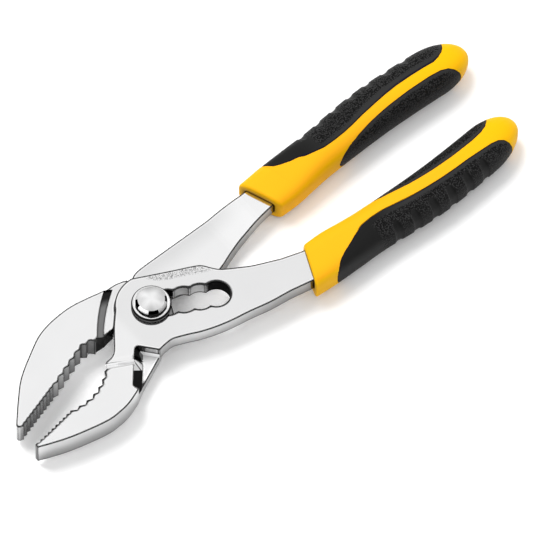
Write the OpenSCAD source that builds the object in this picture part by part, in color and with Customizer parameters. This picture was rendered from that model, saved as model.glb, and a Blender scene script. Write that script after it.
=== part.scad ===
// Slip joint pliers with a five-step slot, two-zone jaws and two-material grips.
// The origin is on the pivot axis, on the plane that the tool rests on.
// +X runs along the handles, +Z is up through the pivot.

/* [Steel] */
// Reach of the jaws, from the pivot axis to the tips
jaw_reach = 78; // [70:0.5:86]
// Thickness of the jaws
jaw_t = 11.7; // [10.5:0.1:13]
// Thickness of the slotted plate and of its handle
slot_plate_t = 7; // [6:0.1:7.4]
// Running gap between the two plates of the joint
plate_gap = 0.1; // [0.08:0.01:0.2]
// Radius of the slotted plate's round end
plate_end_r = 15; // [14.5:0.1:15.6]
// Radius of the pin plate's round end, hidden under the slotted plate
pin_plate_r = 17.7; // [16.8:0.1:18]
// Gap round the pin plate inside the pocket of the upper jaw
pocket_gap = 0.5; // [0.4:0.05:1]
// Reach of the bare handles, from the pivot axis to the grips
handle_reach = 66; // [62:0.5:70]
// Thickness of the pin half's handle where it enters its grip
pin_tang_t = 6; // [5:0.1:7]
// Depth by which the pin half's handle is thicker below than its plate
handle_drop = 2.2; // [0:0.1:2.4]

/* [Joint seam] */
// Distance of the slotted plate's tail from the slot's axis
tail_reach = 21.3; // [21.2:0.1:21.8]
// Distance of the lower jaw's shoulder from the slot's axis
shoulder_reach = 25.1; // [24.6:0.1:26]
// Thickness of the lip that laps over the lower jaw
lip_t = 0.9; // [0.6:0.1:1.5]
// Angle that the jaws close from the pose shown
closing_angle = 3.5; // [2:0.1:3.8]
// Clear space between the halves at the seam
seam_gap = 0.3; // [0.25:0.05:0.5]

/* [Slot and pivot] */
// Positions of the pivot along the slot
slot_steps = 5; // [4:1:5]
// Distance between two positions
slot_pitch = 6.8; // [6:0.1:6.9]
// Direction of the slot, turned clockwise from the handles
slot_angle = 28.3; // [26:0.1:30]
// Diameter of the shank, which turns in one scallop of the slot
shank_d = 11.4; // [10.6:0.1:11.6]
// Width across the two flats of the shank, which pass along the slot
shank_flats = 9.5; // [8.8:0.1:9.8]
// Running gap between the shank and the slot, on each side
shank_gap = 0.15; // [0.1:0.01:0.25]
// Diameter of the round journal that is pressed into the pin plate
journal_d = 9; // [7:0.1:9.4]
// Diameter of the stub that carries the nut
stub_d = 6; // [5:0.1:6.4]
// Thickness of the nut, which is the gap between the steel and the floor
nut_t = 3.2; // [2.6:0.1:4]
// Width across the flats of the nut
nut_flats = 13; // [11:0.5:14]
// Diameter of the washer under the head
washer_d = 16.6; // [15:0.1:17.5]
// Thickness of the washer
washer_t = 2.4; // [1.6:0.1:3]
// Diameter of the collar of the head
collar_d = 13; // [12.6:0.1:13.8]
// Height of the collar
collar_h = 0.5; // [0.3:0.1:1]
// Diameter of the domed part of the head
dome_d = 14; // [13:0.1:15]
// Height of the straight side of the dome
dome_side = 1.2; // [0.8:0.1:2]
// Rise of the dome's crown
dome_rise = 1.7; // [1:0.1:2.4]

/* [Teeth] */
// Coarse teeth in the hollow of the upper jaw
upper_coarse_teeth = 5; // [4:1:7]
// Coarse teeth in the hollow of the lower jaw
lower_coarse_teeth = 7; // [5:1:9]
// Fine teeth near the tip of the upper jaw
upper_fine_teeth = 10; // [7:1:14]
// Fine teeth near the tip of the lower jaw
lower_fine_teeth = 9; // [7:1:14]
// Depth of a coarse tooth
coarse_depth = 1.2; // [0.8:0.1:1.6]
// Depth of a fine tooth
fine_depth = 0.75; // [0.4:0.05:1]

/* [Groove of the upper jaw] */
// Depth of the groove between the jaw and the slotted plate
groove_depth = 3.3; // [2.6:0.1:3.8]
// Radius of the groove's wall at the top face
groove_r = 73.4; // [70:0.1:76]
// Width of the groove's sloping wall
groove_slope = 2.8; // [2:0.1:3.4]

/* [Wire notch] */
// Width of the sloping wall beside the notch
notch_slope = 3.5; // [2.5:0.1:4]

/* [Grips] */
// Length of each grip
grip_l = 110; // [104:1:116]
// Width of the upper grip
upper_grip_w = 21; // [20:0.1:22]
// Width of the lower grip
lower_grip_w = 20; // [19:0.1:21]
// Thickness of each grip
grip_t = 18; // [17:0.1:19]
// Thickness of the upper grip at its front end
upper_grip_front_t = 14.6; // [13:0.1:14.7]
// Thickness of the lower grip at its front end
lower_grip_front_t = 16; // [15:0.1:16.6]
// Length over which the far end is rounded
grip_end_l = 18; // [14:0.5:22]
// Edge radius of the front end
grip_lip_r = 1.2; // [0.8:0.1:1.6]
// Thickness of the black inlays
pad_t = 1.5; // [1.2:0.1:1.8]
// Gap between an inlay and its recess
pad_gap = 0.12; // [0.08:0.01:0.2]
// Gap between a tang and its pocket in the grip
tang_gap = 0.1; // [0.05:0.01:0.2]
// Width of a tang at the far end of its pocket
tang_end_w = 8.4; // [7:0.1:9.4]
// Finger grooves in the outer inlay
finger_grooves = 7; // [5:1:8]
// Depth of a finger groove
finger_depth = 0.7; // [0.4:0.05:0.9]
// Width of a finger groove along the grip
finger_w = 4; // [3:0.1:5]

/* [Hidden] */

// Overrun of cuts past the faces that they open
over = 1;
// Reach of cutting blocks past the whole tool
far = 3 * jaw_reach;

// Heights above the resting plane
steel_z = nut_t;
jaw_top = steel_z + jaw_t;
slot_plate_z = jaw_top - slot_plate_t;
pin_plate_t = jaw_t - slot_plate_t - plate_gap;
pin_plate_top = steel_z + pin_plate_t;
groove_z = jaw_top - groove_depth;

// Slot sizes
scallop_r = shank_d / 2 + shank_gap;
channel_w = shank_flats + 2 * shank_gap;
slot_travel = (slot_steps - 1) * slot_pitch;
// Gap above and below the washer
washer_gap = 0.1;
// Radial gap between the washer and the shank
washer_bore_gap = 0.15;
// Radial gap of the journal and the stub in their bores
press_gap = 0.01;
// Exponent of the dome's profile, where 2 is a half ellipse
dome_power = 2.5;

// Colours of the steel, the grips and their inlays
STEEL = [0.86, 0.87, 0.88];
YELLOW = [1, 0.78, 0.1];
BLACK = [0.16, 0.16, 0.17];

// Outlines of the steel, as shares of the jaw's reach, seen from above.

// Back of the upper jaw, from the joint to the tip
upper_back_shares = [
    [-0.02, 0.2], [-0.075, 0.22], [-0.14, 0.23], [-0.24, 0.253], [-0.345, 0.269],
    [-0.465, 0.264], [-0.56, 0.243], [-0.65, 0.199], [-0.8, 0.107], [-0.905, 0.008], [-1, -0.094]
];
// Tip of the upper jaw
upper_tip_shares = [[-1.002, -0.108], [-0.99, -0.119]];
// Start, middle and end of the upper jaw's toothed edge
upper_teeth_shares = [[-0.99, -0.118], [-0.697, -0.031], [-0.435, 0.06]];
// Throat of the upper jaw, from its teeth to the joint
upper_throat_shares = [[-0.408, 0.039], [-0.395, 0.0478], [-0.384, 0.0505], [-0.368, 0.0355],
    [-0.362, 0.0262], [-0.355, 0.0306], [-0.344, 0.0328], [-0.3, 0.03], [-0.268, 0.036], [-0.19, 0.044]];
// Left edge of the neck, from the plate's round end to the lower jaw's teeth
neck_left_shares = [[-0.159, 0.105], [-0.184, 0.079], [-0.226, 0.036], [-0.265, -0.01],
    [-0.303, -0.058], [-0.327, -0.085], [-0.35, -0.101], [-0.375, -0.107], [-0.4, -0.108]];
// Lower part of that edge, which the pin half shares
neck_foot_shares = [for (i = [4 : len(neck_left_shares) - 1]) neck_left_shares[i]];
// Start, middle and end of the lower jaw's toothed edge
lower_teeth_shares = [[-0.402, -0.107], [-0.728, -0.21], [-0.985, -0.247]];
// Sag of the lower jaw's hollow
lower_hollow_share = 0.049;
// Tip of the lower jaw
lower_tip_shares = [[-0.998, -0.249], [-0.999, -0.269]];
// Back of the lower jaw, from the tip to the notch
lower_back_shares = [[-0.945, -0.292], [-0.845, -0.329], [-0.727, -0.361], [-0.608, -0.385],
    [-0.535, -0.385], [-0.462, -0.375], [-0.378, -0.346]];
// Hidden corner of the slotted plate's tail, before the seam cuts it
tail_corner_share = [-0.45, -0.145];
// Sloping edge of the pin plate beside the notch, from the jaw to the plate
notch_ledge_shares = [[-0.318, -0.311], [-0.128, -0.226]];
// Corners of the notch in the top face: jaw end, inner corner and plate end
notch_jaw_share = [-0.381, -0.306];
notch_corner_shares = [[-0.24, -0.149], [-0.23, -0.139], [-0.214, -0.137]];
notch_plate_share = [-0.136, -0.2335];
// Points outside the tool that close the region cut away at the notch
notch_outer_shares = [[-0.1, -0.3], [-0.3, -0.5]];
// Lower edge of the slotted plate, from the notch to the grip
plate_low_shares = [[-0.136, -0.2335], [-0.096, -0.227], [-0.045, -0.226], [-0.004, -0.241],
    [0.044, -0.262], [0.095, -0.287], [0.174, -0.316], [0.264, -0.34], [0.378, -0.361],
    [0.495, -0.387], [0.618, -0.404]];
// Edge of the groove's floor behind the plate's round end, from that end to the jaw
shelf_shares = [[0.0115, 0.216], [-0.011, 0.2262], [-0.0423, 0.2346], [-0.0558, 0.2372], [-0.0949, 0.2397],
    [-0.1274, 0.2372], [-0.17, 0.22]];
// Axis of the groove's wall
groove_axis_share = [0.394, -0.55];
// Upper edge of the slotted plate, from the grip to its round end
plate_high_shares = [[0.702, -0.222], [0.621, -0.185], [0.554, -0.153], [0.477, -0.105],
    [0.42, -0.067], [0.39, -0.032], [0.36, 0.012], [0.322, 0.039], [0.209, 0.095],
    [0.113, 0.144], [0.02, 0.192]];
// Left edge of the pin half's handle, from the joint to the grip
pin_high_shares = [[0.052, 0.2225], [0.078, 0.2375], [0.128, 0.2455], [0.266, 0.2455], [0.469, 0.2425],
    [0.573, 0.2415], [0.631, 0.2415], [0.686, 0.239], [0.74, 0.2347], [0.8, 0.2305]];
// Right edge of the pin half's handle, from the grip to the neck
pin_low_shares = [[0.84, 0.0665], [0.795, 0.0598], [0.728, 0.049], [0.695, 0.0431], [0.627, 0.0315],
    [0.551, 0.0089], [0.464, -0.0231], [0.38, -0.036], [0.28, -0.018], [0.19, 0.012], [0.138, 0.016],
    [0.112, -0.034], [0.082, -0.088], [0.03, -0.134], [-0.04, -0.173]];

// Start and end of the pin half's climb to its grip
climb_shares = [0.56, 0.8];
// Start and end of the slope below the handle, where it grows thicker than the plate
drop_shares = [0.22, 0.44];

// Angles between which the round ends of the two plates are seen
plate_end_angles = [87, 142];
pin_plate_angles = [78, 178];

// Centre of each grip's front end, as shares of the bare handle's reach
grip_front_shares = [[1.03, 0.181], [0.935, 0.413]];
// Side of the tool that each grip's outer inlay faces
grip_sides = [1, -1];
// Slant of each grip's front end across its width, as a share
front_slant_shares = [-0.37, -0.45];
// Lean of each grip's centre line, as a share of its length
grip_lean_shares = [-0.006, 0.009];
// Centre height of each grip's front end, as a share of the grip's thickness
front_height_shares = [0.411, 0.53];
// Centre height of the pin half's tang, as a share of the grip's thickness
tang_height_share = 0.43;
// Arch of the centre line at each tenth of the grip, as shares of its length
arch_shares = [0, 0.003, 0.007, 0.011, 0.017, 0.022, 0.023, 0.019, 0.013, 0.005, -0.002];
// Half width at each tenth of the grip, as shares of its half width
width_shares = [0.94, 0.98, 0.96, 0.94, 0.97, 1, 1.01, 1, 0.99, 0.97, 0.95];
// Share of the grip's length over which the front slant fades out
slant_fade_share = 0.26;
// Share of the grip's length over which the front swells to full thickness
swell_share = 0.3;
// Exponent of the grip's rounded section at its front end and past the swell
section_power_shares = [3.8, 2.5];
// Angle that the stripe between the inlays is turned, on each grip
stripe_turn = [5, -5];
// Half angle that each grip's outer inlay covers, against the share of the grip's length
outer_edge_shares = [
    [[0.104, 34], [0.11, 52], [0.12, 67], [0.14, 74], [0.17, 80], [0.2, 83], [0.25, 90], [0.3, 98],
        [0.35, 100], [0.4, 100], [0.45, 98], [0.5, 94.5], [0.56, 91.5], [0.62, 88.5], [0.68, 86.5],
        [0.74, 86], [0.8, 86], [0.85, 86.5], [0.88, 85], [0.91, 81], [0.93, 66]],
    [[0.093, 26], [0.1, 41], [0.11, 60], [0.12, 68], [0.14, 77], [0.17, 84.5], [0.2, 91], [0.25, 98],
        [0.3, 101], [0.35, 101], [0.4, 98], [0.45, 95.5], [0.5, 94], [0.56, 92], [0.62, 90], [0.68, 88],
        [0.74, 86.5], [0.8, 83], [0.85, 79], [0.88, 73], [0.9, 62], [0.914, 38]]
];
// Half angle that the inner inlay covers, against the share of the grip's length
inner_edge_shares = [[0.33, 14], [0.36, 31], [0.39, 43], [0.45, 54], [0.5, 61], [0.55, 65], [0.6, 68],
    [0.7, 72], [0.8, 73], [0.85, 71], [0.88, 64], [0.9, 49], [0.914, 26]];
// Angle taken up by the side wall of a recess
wall_angle = 2.5;
// Length of a recess's end wall, as a share of the grip's length
end_wall_share = 0.002;
// Stations along a sleeve, as shares of its length
sleeve_shares = [0, 0.004, 0.011, 0.04, 0.07, 0.091, 0.093, 0.102, 0.104, 0.11, 0.12, 0.14, 0.17, 0.2,
    0.25, 0.3, 0.328, 0.33, 0.36, 0.4, 0.45, 0.5, 0.56, 0.62, 0.68, 0.74, 0.8, 0.85, 0.88, 0.9, 0.91,
    0.914, 0.916, 0.93, 0.932, 0.95, 0.97, 0.985, 0.995];
// Share of the grip's length that the tang fills
tang_share = 0.738;
// Share of the grip's length that its pocket takes up
pocket_share = 0.74;
// Width of each tang where it enters its grip, as shares of the bare handle's reach
entry_shares = [0.188, 0.2];
// Share of the grip's length over which the tang narrows
tang_taper_share = 0.16;
// First finger groove and the step between grooves, as shares of the grip's length
finger_first_share = 0.275;
finger_step_share = 0.0835;
// Half angle round the grip that a finger groove covers
finger_angle = 75;

// Points on a smooth curve that passes through the given points
function curve_point(a, b, c, d, t) =
    0.5 * ((2 * b) + (c - a) * t + (2 * a - 5 * b + 4 * c - d) * t * t
        + (3 * b - a - 3 * c + d) * t * t * t);
function smooth(p, n = 4) = [
    for (i = [0 : len(p) - 2])
        for (k = [0 : n - 1])
            curve_point(p[max(i - 1, 0)], p[i], p[i + 1], p[min(i + 2, len(p) - 1)], k / n),
    p[len(p) - 1]
];

// Value of a table of evenly spaced shares at u, from 0 to 1, on a smooth curve
function table_at(u, tab) =
    let (m = len(tab) - 1, i = min(floor(u * m), m - 1))
    curve_point(tab[max(i - 1, 0)], tab[i], tab[i + 1], tab[min(i + 2, m)], u * m - i);

// Points on an arc about the pivot axis, between two angles
function arc(r, between, n = 24) = [
    for (i = [0 : n]) let (a = between[0] + (between[1] - between[0]) * i / n) [r * cos(a), r * sin(a)]
];
function reversed(v) = [for (i = [len(v) - 1 : -1 : 0]) v[i]];

// A toothed edge from a to b, with the given sag of its line and depth of its teeth
function across(a, b) = let (d = b - a) [-d[1], d[0]] / norm(d);
function sagged(a, b, sag, t) = a + (b - a) * t + across(a, b) * sag * 4 * t * (1 - t);
function toothed(a, b, sag, depth, teeth) = [
    for (i = [0 : teeth - 1])
        for (k = [0, 1])
            sagged(a, b, sag, (i + k / 2) / teeth) + across(a, b) * depth * k,
    b
];

function scaled(shares) = shares * jaw_reach;

upper_teeth = scaled(upper_teeth_shares);
lower_teeth = scaled(lower_teeth_shares);

// Slab of the given outline between two heights
module slab(outline, z0, z1) {
    translate([0, 0, z0]) linear_extrude(z1 - z0) polygon(outline);
}

// Half space on the far side of a line at the given distance from the pivot axis,
// square to the slot and turned about the pivot axis
module beyond(distance, turn, z0, z1) {
    rotate([0, 0, turn - slot_angle])
        translate([-far, -distance - far, z0]) cube([2 * far, far, z1 - z0]);
}

module slotted_plate_outline() {
    polygon(concat(
        arc(plate_end_r, plate_end_angles),
        smooth(scaled(neck_left_shares)),
        scaled([tail_corner_share, notch_ledge_shares[0]]),
        smooth(scaled(plate_low_shares)),
        tang_points(1),
        smooth(scaled(plate_high_shares))
    ));
}

// Upper jaw, with the floor of the groove that joins it to the slotted plate
module upper_jaw_outline() {
    polygon(concat(
        smooth(scaled(upper_back_shares)),
        scaled(upper_tip_shares),
        toothed(upper_teeth[0], upper_teeth[1], 0, -fine_depth, upper_fine_teeth),
        toothed(upper_teeth[1], upper_teeth[2], 0, -coarse_depth, upper_coarse_teeth),
        smooth(scaled(upper_throat_shares)),
        [[0, 0]]
    ));
}

module lower_jaw_outline() {
    polygon(concat(
        toothed(lower_teeth[0], lower_teeth[1], lower_hollow_share * jaw_reach, coarse_depth, lower_coarse_teeth),
        toothed(lower_teeth[1], lower_teeth[2], 0, fine_depth, lower_fine_teeth),
        scaled(lower_tip_shares),
        smooth(scaled(lower_back_shares)),
        scaled(notch_ledge_shares),
        [[0, 0]],
        smooth(scaled(neck_foot_shares))
    ));
}

module pin_plate_outline() {
    polygon(concat(
        arc(pin_plate_r, pin_plate_angles),
        scaled([neck_foot_shares[0]]),
        scaled(notch_ledge_shares),
        smooth(scaled(reversed(pin_low_shares))),
        tang_points(0),
        smooth(scaled(reversed(pin_high_shares)))
    ));
}

// Cut that opens the wire notch: all of the top layer right of a sloping wall
notch_run = scaled(notch_corner_shares[0]) - scaled(notch_jaw_share);
notch_turn = atan2(notch_run[1], notch_run[0]);
module notch_cut() {
    intersection() {
        slab(concat(
            scaled([notch_jaw_share]),
            scaled(notch_corner_shares),
            scaled([notch_plate_share]),
            scaled(notch_outer_shares)
        ), pin_plate_top + plate_gap / 2, jaw_top + over);
        translate([each scaled(notch_jaw_share), jaw_top])
            rotate([0, 0, notch_turn])
                rotate([atan2(slot_plate_t, notch_slope), 0, 0])
                    translate([-far, -far, 0]) cube([2 * far, far, far]);
    }
}

module slot_cut() {
    rotate([0, 0, -slot_angle]) translate([0, 0, slot_plate_z - over]) {
        for (i = [0 : slot_steps - 1])
            translate([i * slot_pitch, 0, 0])
                cylinder(r = scallop_r, h = slot_plate_t + 2 * over, $fn = 64);
        translate([0, -channel_w / 2, 0])
            cube([slot_travel, channel_w, slot_plate_t + 2 * over]);
    }
}

// Cone inside the groove's sloping wall, whose axis stands beside the handles
module groove_cut() {
    translate([each scaled(groove_axis_share), 0])
        rotate_extrude($fn = 180)
            polygon([[0, groove_z], [groove_r - groove_slope, groove_z],
                [groove_r, jaw_top], [groove_r, jaw_top + over], [0, jaw_top + over]]);
}

module slotted_half() {
    color(STEEL) difference() {
        union() {
            difference() {
                translate([0, 0, slot_plate_z]) linear_extrude(slot_plate_t) slotted_plate_outline();
                beyond(tail_reach, 0, 0, jaw_top - lip_t);
                beyond(shoulder_reach - seam_gap, -closing_angle, 0, jaw_top + over);
                notch_cut();
            }
            slab(concat(smooth(scaled(shelf_shares)), [[0, 0]]), slot_plate_z, groove_z);
            difference() {
                translate([0, 0, steel_z]) linear_extrude(jaw_t) upper_jaw_outline();
                translate([0, 0, -over])
                    cylinder(r = pin_plate_r + pocket_gap, h = slot_plate_z + over, $fn = 128);
                groove_cut();
            }
        }
        slot_cut();
    }
}

module pin_half() {
    color(STEEL) difference() {
        union() {
            pin_plate();
            difference() {
                translate([0, 0, steel_z]) linear_extrude(jaw_t) lower_jaw_outline();
                jaw_relief();
            }
        }
        translate([0, 0, steel_z - over])
            cylinder(d = journal_d + 2 * press_gap, h = pin_plate_t + 2 * over, $fn = 64);
    }
}

// Cuts that step the lower jaw down under the lip and the slotted plate
module jaw_relief() {
    difference() {
        translate([-far, -far, jaw_top - lip_t - plate_gap]) cube([2 * far, 2 * far, far]);
        beyond(shoulder_reach, 0, 0, far);
    }
    difference() {
        translate([-far, -far, pin_plate_top]) cube([2 * far, 2 * far, far]);
        beyond(tail_reach + seam_gap, closing_angle, 0, far);
    }
    notch_cut();
}

// Pin plate with its handle, which climbs to the middle of its grip
tang_z = [grip_t * tang_height_share - pin_tang_t / 2, slot_plate_z];
module pin_plate() {
    climb = scaled(climb_shares);
    drop = scaled(drop_shares);
    low_z = steel_z - handle_drop;
    tang_top = tang_z[0] + pin_tang_t;
    intersection() {
        linear_extrude(jaw_top) pin_plate_outline();
        translate([0, far / 2, 0]) rotate([90, 0, 0]) linear_extrude(far)
            polygon(concat(
                [[-far, steel_z]],
                eased(drop[0], steel_z, drop[1], low_z),
                eased(climb[0], low_z, climb[1], tang_z[0]),
                [[far, tang_z[0]], [far, tang_top]],
                eased(climb[1], tang_top, climb[0], pin_plate_top),
                [[-far, pin_plate_top]]
            ));
    }
}

// Points on a slope that starts and ends level
function eased(x0, z0, x1, z1, n = 8) = [
    for (i = [0 : n]) [x0 + (x1 - x0) * i / n, z0 + (z1 - z0) * ease(i / n)]
];

module pivot_pin() {
    head_z = jaw_top + washer_t + 2 * washer_gap;
    color(STEEL) {
        cylinder(d = stub_d, h = steel_z + over / 2, $fn = 64);
        translate([0, 0, steel_z]) cylinder(d = journal_d, h = pin_plate_t, $fn = 64);
        translate([0, 0, pin_plate_top]) intersection() {
            cylinder(d = shank_d, h = head_z - pin_plate_top, $fn = 64);
            rotate([0, 0, -slot_angle])
                translate([-far, -shank_flats / 2, 0]) cube([2 * far, shank_flats, far]);
        }
        translate([0, 0, head_z]) cylinder(d = collar_d, h = collar_h, $fn = 64);
        translate([0, 0, head_z + collar_h]) cylinder(d = dome_d, h = dome_side, $fn = 64);
        translate([0, 0, head_z + collar_h + dome_side]) dome();
    }
}

// Crown of the head, flatter in the middle than a ball and rounder at its edge
module dome() {
    n = 12;
    e = 2 / dome_power;
    rotate_extrude($fn = 64)
        polygon(concat([[0, 0]], [
            for (i = [0 : n]) let (a = 90 * i / n)
                [dome_d / 2 * signed_power(cos(a), e), dome_rise * signed_power(sin(a), e)]
        ]));
}

module pivot_washer() {
    chamfer = washer_t / 4;
    bore_r = shank_d / 2 + washer_bore_gap;
    color(STEEL) translate([0, 0, jaw_top + washer_gap])
        rotate_extrude($fn = 96)
            polygon([[bore_r, 0], [washer_d / 2, 0], [washer_d / 2, washer_t - chamfer],
                [washer_d / 2 - chamfer, washer_t], [bore_r, washer_t]]);
}

module pivot_nut() {
    color(STEEL) difference() {
        rotate([0, 0, 30 - slot_angle])
            cylinder(d = nut_flats / cos(30), h = nut_t, $fn = 6);
        translate([0, 0, -over]) cylinder(d = stub_d + 2 * press_gap, h = nut_t + 2 * over, $fn = 64);
    }
}

// Grips. The grip with index 0 is the upper one, and 1 is the lower one.
// Each is worked out with its outer inlay toward +Y, and the lower one is mirrored.

function grip_w(g) = g == 0 ? upper_grip_w : lower_grip_w;
function front_x(g) = grip_front_shares[g][0] * handle_reach;
function front_y(g) = grip_front_shares[g][1] * handle_reach;
function ease(t) = let (c = min(max(t, 0), 1)) c * c * (3 - 2 * c);
function centre_y(g, u) = front_y(g) + grip_l * (table_at(u, arch_shares) + grip_lean_shares[g] * u);
function slant(g, u) = front_slant_shares[g] * (1 - ease(u / slant_fade_share));
// Rounding of the front edge and of the far end
function front_inset(u) =
    let (d = min(u * grip_l, grip_lip_r)) grip_lip_r - sqrt(pow(grip_lip_r, 2) - pow(grip_lip_r - d, 2));
function end_round(u) =
    let (d = max(0, 1 - (1 - u) * grip_l / grip_end_l)) sqrt(1 - d * d);
function half_w(g, u) =
    grip_w(g) / 2 * table_at(u, width_shares) * end_round(u) - front_inset(u);
function front_t(g) = g == 0 ? upper_grip_front_t : lower_grip_front_t;
function half_h(g, u) =
    (front_t(g) + (grip_t - front_t(g)) * ease(u / swell_share)) / 2 * end_round(u) - front_inset(u);
function centre_z(g, u) =
    grip_t * (front_height_shares[g] + (0.5 - front_height_shares[g]) * ease(u / swell_share));
function signed_power(v, p) = sign(v) * pow(abs(v), p);

// Point of a section at angle phi from the outer side, sunk by inset from the surface
function grip_point(g, u, phi, inset) =
    let (
        w = half_w(g, u) - inset,
        h = half_h(g, u) - inset,
        power = section_power_shares * [1 - ease(u / swell_share), ease(u / swell_share)],
        e = 2 / power,
        dy = w * signed_power(cos(phi), e),
        dz = h * signed_power(sin(phi), e)
    )
    [front_x(g) + u * grip_l + slant(g, u) * dy, grip_sides[g] * (centre_y(g, u) + dy), centre_z(g, u) + dz];

function outer_half(g, u) = lookup(u, outer_edge_shares[g]) + stripe_turn[g];
function inner_half(g, u) = lookup(u, inner_edge_shares) - stripe_turn[g];
function first_u(tab) = tab[0][0];
function last_u(tab) = tab[len(tab) - 1][0];
function in_zone(u, tab) = u > first_u(tab) - end_wall_share / 2 && u < last_u(tab) + end_wall_share / 2;
function sink(u, tab) = in_zone(u, tab) ? pad_t : 0;

// Angles round one section, with the depth of the recess at each
ZONE_STEPS = 6;
STRIPE_STEPS = 3;
function zone_angles(middle, half, depth) = concat(
    [[middle - half, 0]],
    [for (i = [0 : ZONE_STEPS]) [middle + (half - wall_angle) * (2 * i / ZONE_STEPS - 1), depth]],
    [[middle + half, 0]]
);
function stripe_angles(from, to) = [
    for (i = [1 : STRIPE_STEPS]) [from + (to - from) * i / (STRIPE_STEPS + 1), 0]
];
function section_angles(g, u) =
    let (a = outer_half(g, u), b = inner_half(g, u))
    concat(
        zone_angles(0, a, sink(u, outer_edge_shares[g])),
        stripe_angles(a, 180 - b),
        zone_angles(180, b, sink(u, inner_edge_shares)),
        stripe_angles(180 + b, 360 - a)
    );
function sleeve_ring(g, u) = [for (s = section_angles(g, u)) grip_point(g, u, s[0], s[1])];

// Edges of a tang beside the grip's centre line at u
entry_w = entry_shares * handle_reach;
function tang_half(g, u) =
    (entry_w[g] + (tang_end_w - entry_w[g]) * min(u / tang_taper_share, 1)) / 2;
function tang_side(g, u, side, gap) =
    let (dy = side * (tang_half(g, u) + gap))
    [front_x(g) + u * grip_l + slant(g, u) * dy, grip_sides[g] * (centre_y(g, u) + dy)];
// Stations along a tang
tang_shares = [0.003, 0.04, 0.08, 0.12, 0.16, 0.22, 0.3, 0.45, 0.6, tang_share];
function tang_points(g) = concat(
    [for (u = tang_shares) tang_side(g, u, g == 0 ? -1 : 1, 0)],
    [for (u = reversed(tang_shares)) tang_side(g, u, g == 0 ? 1 : -1, 0)]
);

function tang_height(g) = g == 0 ? pin_tang_t : slot_plate_t;
// Places round a tang's pocket, as shares of its half width and half height, in step with a sleeve's ring
pocket_shares = concat(
    [for (i = [0 : ZONE_STEPS + 2]) [1, 2 * i / (ZONE_STEPS + 2) - 1]],
    [for (i = [1 : STRIPE_STEPS]) [1 - 2 * i / (STRIPE_STEPS + 1), 1]],
    [for (i = [0 : ZONE_STEPS + 2]) [-1, 1 - 2 * i / (ZONE_STEPS + 2)]],
    [for (i = [1 : STRIPE_STEPS]) [2 * i / (STRIPE_STEPS + 1) - 1, -1]]
);
function pocket_ring(g, u) = [
    for (p = pocket_shares)
        let (dy = p[0] * (tang_half(g, u) + tang_gap))
        [front_x(g) + u * grip_l + slant(g, u) * dy, grip_sides[g] * (centre_y(g, u) + dy),
            tang_z[g] + tang_height(g) / 2 + p[1] * (tang_height(g) / 2 + tang_gap)]
];
module sleeve(g) {
    rings = [for (u = sleeve_shares) sleeve_ring(g, u)];
    n = len(rings[0]);
    m = len(rings);
    pocket_u = [for (u = sleeve_shares) if (u <= pocket_share) u];
    pocket = [for (u = pocket_u) pocket_ring(g, u)];
    k = len(pocket);
    points = concat(
        [for (r = rings) each r],
        [for (r = pocket) each r],
        [middle_of(rings[m - 1]), middle_of(pocket[k - 1])]
    );
    base = n * m;
    hubs = base + n * k;
    faces = concat(
        [for (j = [0 : m - 2]) for (i = [0 : n - 1]) each quad(j * n, (j + 1) * n, i, n, false)],
        [for (i = [0 : n - 1]) [(m - 1) * n + (i + 1) % n, (m - 1) * n + i, hubs]],
        [for (j = [0 : k - 2]) for (i = [0 : n - 1]) each quad(base + j * n, base + (j + 1) * n, i, n, true)],
        [for (i = [0 : n - 1]) [base + (k - 1) * n + i, base + (k - 1) * n + (i + 1) % n, hubs + 1]],
        [for (i = [0 : n - 1]) each quad(base, 0, i, n, false)]
    );
    color(YELLOW) polyhedron(points, g == 0 ? faces : flipped(faces));
}
function middle_of(ring) = [for (p = ring) 1 / len(ring)] * ring;
function flipped(faces) = [for (f = faces) reversed(f)];
function quad(a, b, i, n, turned) =
    let (j = (i + 1) % n, f = [[a + i, b + i, b + j], [a + i, b + j, a + j]])
    turned ? flipped(f) : f;

// Depth of the finger grooves at u and phi
function groove_at(u, phi) =
    let (
        k = round((u - finger_first_share) / finger_step_share),
        inside = k >= 0 && k < finger_grooves,
        d = abs(u - finger_first_share - k * finger_step_share) * grip_l,
        along = max(0, 1 - pow(2 * d / finger_w, 2)),
        round_it = max(0, 1 - pow(phi / finger_angle, 2))
    )
    inside ? finger_depth * along * sqrt(round_it) : 0;

// Inlay: outer skin, with grooves if it has them, over a floor parallel to the recess
PAD_STEPS = 8;
module inlay(g, middle, edge, grooved) {
    first = first_u(edge) + end_wall_share / 4;
    last = last_u(edge) - end_wall_share / 4;
    extra = grooved ? [for (k = [0 : finger_grooves - 1]) for (d = [-0.5, -0.25, 0, 0.25, 0.5])
        finger_first_share + k * finger_step_share + d * finger_w / grip_l] : [];
    stations = sorted(concat([first], [for (u = sleeve_shares) if (u > first && u < last) u], [last], extra));
    n = 2 * (PAD_STEPS + 1);
    rings = [for (u = stations) inlay_ring(g, u, middle,
        middle == 0 ? outer_half(g, u) : inner_half(g, u), grooved)];
    m = len(rings);
    faces = concat(
        [[for (i = [0 : n - 1]) i]],
        [for (j = [0 : m - 2]) for (i = [0 : n - 1]) each quad(j * n, (j + 1) * n, i, n, false)],
        [[for (i = [n - 1 : -1 : 0]) (m - 1) * n + i]]
    );
    color(BLACK) polyhedron([for (r = rings) each r], g == 0 ? faces : flipped(faces));
}
function sorted(v) = len(v) < 2 ? v :
    let (p = v[floor(len(v) / 2)])
    concat(sorted([for (x = v) if (x < p) x]), [p], sorted([for (x = v) if (x > p) x]));
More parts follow.
